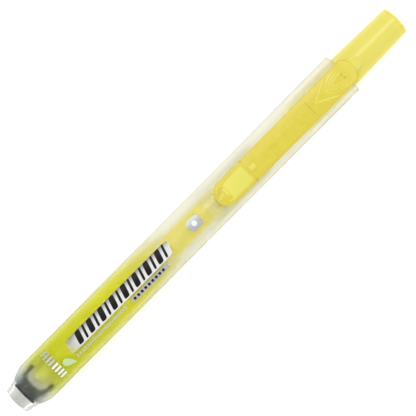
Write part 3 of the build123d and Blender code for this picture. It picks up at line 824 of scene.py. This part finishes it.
def clipBar(spec, marks):
    # Sections across the clip ride along it; the half width follows a quarter ellipse at each end.
    noseEnd = spec["front"] + spec["noseLength"]
    tailFrom = spec["rear"] - spec["tailLength"]
    quarter = np.pi / 2
    s = np.concatenate([
        spec["front"] + spec["noseLength"] * (1 - np.cos(np.linspace(0, quarter, spec["noseRows"]))),
        np.linspace(noseEnd, spec["windowEnd"], spec["windowRows"])[1:],
        np.linspace(spec["windowEnd"], spec["middleEnd"], spec["middleRows"])[1:],
        np.linspace(spec["middleEnd"], tailFrom, spec["creaseRows"])[1:],
        spec["rear"] - spec["tailLength"] * (1 - np.sin(np.linspace(0, quarter, spec["tailRows"])))[1:],
    ])
    ahead = np.clip((noseEnd - s) / spec["noseLength"], 0, 1)
    behind = np.clip((s - tailFrom) / spec["tailLength"], 0, 1)
    half = np.sqrt(1 - ahead ** spec["nosePower"]) * np.sqrt(np.maximum(1 - behind ** 2, 0))
    half = (spec["half"] * half)[:, None]
    # the top falls away at the rear, and drops round the edge's own arc at the very front
    top = spec["top"] - (spec["top"] - spec["fallTop"]) * soft(s, spec["fallFrom"], spec["fallTo"])
    lip = np.clip((spec["front"] + spec["edge"] - s) / spec["edge"], 0, 1)
    top = (top - spec["edge"] * (1 - np.sqrt(1 - lip ** 2)))[:, None]
    # one section: the top from left to right, down the right edge, back underneath and up the left edge
    flat = np.linspace(-1, 1, spec["flatColumns"])
    back = flat[::-spec["underStep"]]
    count = spec["bendColumns"]
    bend = np.linspace(0, quarter, count + 1)[1:]
    right = np.ones(2 * count)
    sin, cos = np.sin(bend), np.cos(bend)
    u = np.concatenate([flat, right, back, -right])
    out = np.concatenate([0 * flat, sin, cos, 0 * back, -sin, -cos])
    lift = np.concatenate([1 + 0 * flat, cos, -sin, -1 - 0 * back, -cos, sin])
    column = np.arange(len(u))
    upper = (column < len(flat) + count) | (column >= len(u) - count)
    edge = np.where(upper, spec["edge"], spec["underEdge"])[None] * np.minimum(1, half / spec["slimHalf"])
    across = u * np.maximum(half - edge, 0) + out * np.minimum(edge, half)
    height = np.where(upper[None], top - edge, spec["under"] + edge) + lift * edge
    station = s[:, None] + 0 * across
    crown = spec["crown"] * (across / spec["half"]) ** 2
    onTop = (upper & (lift > 0.5))[None] * soft(half - abs(across), 0.0, spec["reliefEdge"])
    relief = clipSum(station, across, marks, "rise") * onTop
    height = height + np.where(upper[None], relief - crown, 0)
    quads = gridQuads(*across.shape, wrapCols=True)
    piece = makeMesh("clipBar", place(station, across, height), quads, sharpAngle=50)
    markShadeAndHighlight(piece, marks)
    return piece


def markShadeAndHighlight(piece, marks):
    # The painted shade and highlight, the tone, is read back from each finished vertex's own place, because
    # merging renumbers them.
    co = np.empty(len(piece.data.vertices) * 3)
    piece.data.vertices.foreach_get("co", co)
    co = co.reshape(-1, 3)
    tone = clipSum((co[:, 0] - noseFront) / mm, co[:, 1] / mm, marks, "tone")
    layer = piece.data.attributes.new("tone", "FLOAT", "POINT")
    layer.data.foreach_set("value", np.clip(tone, -1, 1).astype(np.float32))


def clipRoot(spec):
    # A web whose top eases down to the button; its sections are rounded rectangles that narrow rearwards.
    s = np.linspace(spec["front"], spec["rear"], spec["rows"])
    drop = soft(s, spec["fallFrom"], spec["fallTo"]) * spec["fallShare"]
    top = np.maximum(spec["top"] - (spec["top"] - spec["foot"]) * drop, spec["foot"] + spec["least"])
    half = spec["half"] * (1 - spec["narrowShare"] * soft(s, spec["narrowFrom"], spec["rear"]))
    a = np.linspace(0, 2 * np.pi, spec["around"], endpoint=False)
    box = superellipse(a, spec["square"])
    middle = (top + spec["foot"] - spec["sunk"]) / 2
    across = half[:, None] * box * np.sin(a)
    height = middle[:, None] + (top - middle)[:, None] * box * np.cos(a)
    rings = np.stack([s[:, None] + 0 * across, across, height], axis=2)
    return cappedTube("clipRoot", rings, sharpAngle=50)


def clipPad(spec):
    # The small grip under the clip's front end: a superellipse in plan whose depth rounds off at its edge.
    rho = np.linspace(0, 1, spec["rings"])[:, None]
    a = np.linspace(0, 2 * np.pi, spec["around"], endpoint=False)[None]
    reach = rho * superellipse(a, spec["square"])
    station = (spec["front"] + spec["rear"]) / 2 + (spec["rear"] - spec["front"]) / 2 * reach * np.cos(a)
    across = spec["half"] * reach * np.sin(a)
    depth = (spec["roof"] - spec["under"]) * spec["roundShare"]
    low = spec["under"] + depth * (1 - np.sqrt(1 - rho ** 4)) + 0 * a
    station = np.concatenate([station, station[::-1]])
    across = np.concatenate([across, across[::-1]])
    height = np.concatenate([low, spec["roof"] + 0 * low])
    quads = gridQuads(*station.shape, wrapCols=True)
    return makeMesh("clipPad", place(station, across, height), quads, sharpAngle=40)


for piece, material in (
    (buttonTube(buttonSpec), "yellowPlastic"),
    (clipBar(clipSpec, clipMarks), "clipPlastic"),
    (clipRoot(rootSpec), "yellowPlastic"),
    (clipPad(padSpec), "yellowPlastic"),
):
    dress(piece, material, "knock", "yellow_button", "knock_button")
print("button and clip made")


# Thin printed pieces on the barrel. A mark is one or more slabs of (station, across, length, width), all
# repeated by the step (along, across). Lift is the height over the barrel.
printSpec = {"lift": 0.004, "overlift": 0.026, "thick": 0.02, "thin": 0.01, "rings": 7}
printMarks = {
    "printBand": {"ink": "printBand", "slabs": [(38.75, 0.6, 37.5, 3.9)], "slant": 0.32,
                  "power": 14, "points": 80},
    "printBars": {"ink": "printBlack", "slabs": [(24.25, 0.75, 1.7, 3.5), (26.345, 0.75, 0.75, 3.5)],
                  "number": 8, "step": (4.19, 0), "slant": 0.32, "power": 6, "points": 32, "over": True},
    "printLabel": {"ink": "printSilver", "slabs": [(47.15, -2.65, 13.5, 1.55)], "power": 5, "points": 64},
    "printTicks": {"ink": "printBlack", "slabs": [(41.6, -2.65, 0.75, 0.85)], "number": 9,
                   "step": (1.3, 0), "power": 4, "points": 20, "over": True},
    "printDashes": {"ink": "printGrey", "slabs": [(20.6, -2.6, 0.62, 1.05)], "number": 20,
                    "step": (0.92, 0), "slant": 0.1, "power": 5, "points": 20},
    "printColumnFoot": {"ink": "printWhite", "slabs": [(14.4, -3.6, 2.2, 0.62)], "number": 4,
                        "step": (0, 1.15), "slant": -0.2, "power": 5, "points": 24},
    "printColumnTop": {"ink": "printSilver", "slabs": [(14.4, 1.0, 2.2, 0.62)], "number": 4,
                       "step": (0, 1.15), "slant": -0.2, "power": 5, "points": 24},
    "printDrop": {"ink": "printGreen", "drop": (17.8, -2.2), "half": (1.85, 0.95), "taper": 0.45,
                  "turn": -0.8, "points": 48},
    "printBadge": {"ink": "printSilver", "slabs": [(66.3, 0.3, 4.2, 3.4)], "power": 4, "points": 48},
    "printBadgeDot": {"ink": "printWhite", "slabs": [(66.3, 0.3, 1.5, 1.5)], "power": 2, "points": 32,
                      "over": True, "thin": True},
}


def wrapPatch(outline, lift, thick, rings):
    # A flat outline of (station, across) is filled by copies shrunk towards its middle, and laid round the
    # barrel: the angle from the top is the length across over the barrel's radius.
    middle = outline.mean(axis=0)
    share = np.linspace(0, 1, rings)[:, None, None]
    flat = middle + share * (outline - middle)
    station, across = flat[..., 0], flat[..., 1]
    radius = barrelRadius(station)
    angle = across / radius
    faces = []
    for height in (lift + thick, lift):
        r = radius + height
        faces.append(np.stack([station, r * np.sin(angle), r * np.cos(angle)], axis=2))
    points = np.concatenate([faces[0], faces[1][::-1]])
    return points.reshape(-1, 3), gridQuads(2 * rings, outline.shape[0], wrapCols=True)


def slabOutlines(mark):
    # A superellipse, sheared along the pen by its slant: |x/a|^n + |y/b|^n = 1.
    a = np.linspace(0, 2 * np.pi, mark["points"], endpoint=False)
    reach = superellipse(a, mark["power"])
    along, aside = mark.get("step", (0, 0))
    outlines = []
    for k in range(mark.get("number", 1)):
        for station, across, length, width in mark["slabs"]:
            x, y = length / 2 * reach * np.cos(a), width / 2 * reach * np.sin(a)
            x = x + mark.get("slant", 0) * y
            outlines.append(np.stack([station + k * along + x, across + k * aside + y], axis=1))
    return outlines


def dropOutline(mark):
    # An ellipse that narrows to one end, across = b sin a (1 - taper cos a), then turned.
    a = np.linspace(0, 2 * np.pi, mark["points"], endpoint=False)
    long, wide = mark["half"]
    x, y = long * np.cos(a), wide * np.sin(a) * (1 - mark["taper"] * np.cos(a))
    c, s = math.cos(mark["turn"]), math.sin(mark["turn"])
    return np.stack([mark["drop"][0] + c * x - s * y, mark["drop"][1] + s * x + c * y], axis=1)


def printPiece(name, mark, spec):
    outlines = [dropOutline(mark)] if "drop" in mark else slabOutlines(mark)
    lift = spec["overlift"] if mark.get("over") else spec["lift"]
    thick = spec["thin"] if mark.get("thin") else spec["thick"]
    points, quads, count = [], [], 0
    for outline in outlines:
        p, q = wrapPatch(outline, lift, thick, spec["rings"])
        points.append(p)
        quads.append(q + count)
        count += len(p)
    p = np.concatenate(points)
    piece = makeMesh(name, place(p[:, 0], p[:, 1], p[:, 2]), np.concatenate(quads), sharpAngle=30)
    dress(piece, mark["ink"], "casing", "frosted_barrel")


for name, mark in printMarks.items():
    printPiece(name, mark, printSpec)
print("printing made")


earSpec = {
    "front": 8.0, "rear": 12.85, "half": 1.3, "pivot": 9.0, "hole": 0.45, "inner": 4.25, "outer": 4.85,
    "around": 64, "least": 1e-6,
}


def pivotEar(name, side, spec):
    # A plate round the pivot hole: each ray from the hole's middle ends on the plate's rectangle.
    a = np.linspace(0, 2 * np.pi, spec["around"], endpoint=False)
    ahead = np.where(np.cos(a) < 0, spec["pivot"] - spec["front"], spec["rear"] - spec["pivot"])
    toEnd = ahead / np.maximum(abs(np.cos(a)), spec["least"])
    toSide = spec["half"] / np.maximum(abs(np.sin(a)), spec["least"])
    ray = np.minimum(toEnd, toSide)
    hole = np.full(len(a), spec["hole"])
    radius = np.stack([hole, ray, ray, hole])
    across = np.array([spec["inner"], spec["inner"], spec["outer"], spec["outer"]])[:, None] * side
    points = place(spec["pivot"] + radius * np.cos(a), across + 0 * radius, radius * np.sin(a))
    return makeMesh(name, points, gridQuads(*radius.shape, wrapRows=True, wrapCols=True), sharpAngle=40)


for name, side in (("pivotEarLeft", 1), ("pivotEarRight", -1)):
    ear = pivotEar(name, side, earSpec)
    dress(ear, "fluorescentSleeve", "casing", "fluorescent_sleeve", "chamber_sleeve")
print("pivot ears made")

nodeFinishes = {
    "upper_shutter": "shutterPlastic", "lower_shutter": "shutterPlastic", "shutter_pins": "springSteel",
    "chamber_seal": "softSeal", "seal_retainer": "naturalPlastic", "holder_seal": "softSeal",
    "ink_core": "inkFibre", "tail_plug": "naturalPlastic", "cam_sleeve": "camSleeve",
    "cam_rotor": "latchPlastic", "knock_crown": "latchPlastic",
}
for node, material in nodeFinishes.items():
    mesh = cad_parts[node].data
    mesh.materials.clear()
    mesh.materials.append(finishes[material])
print("hidden works dressed")
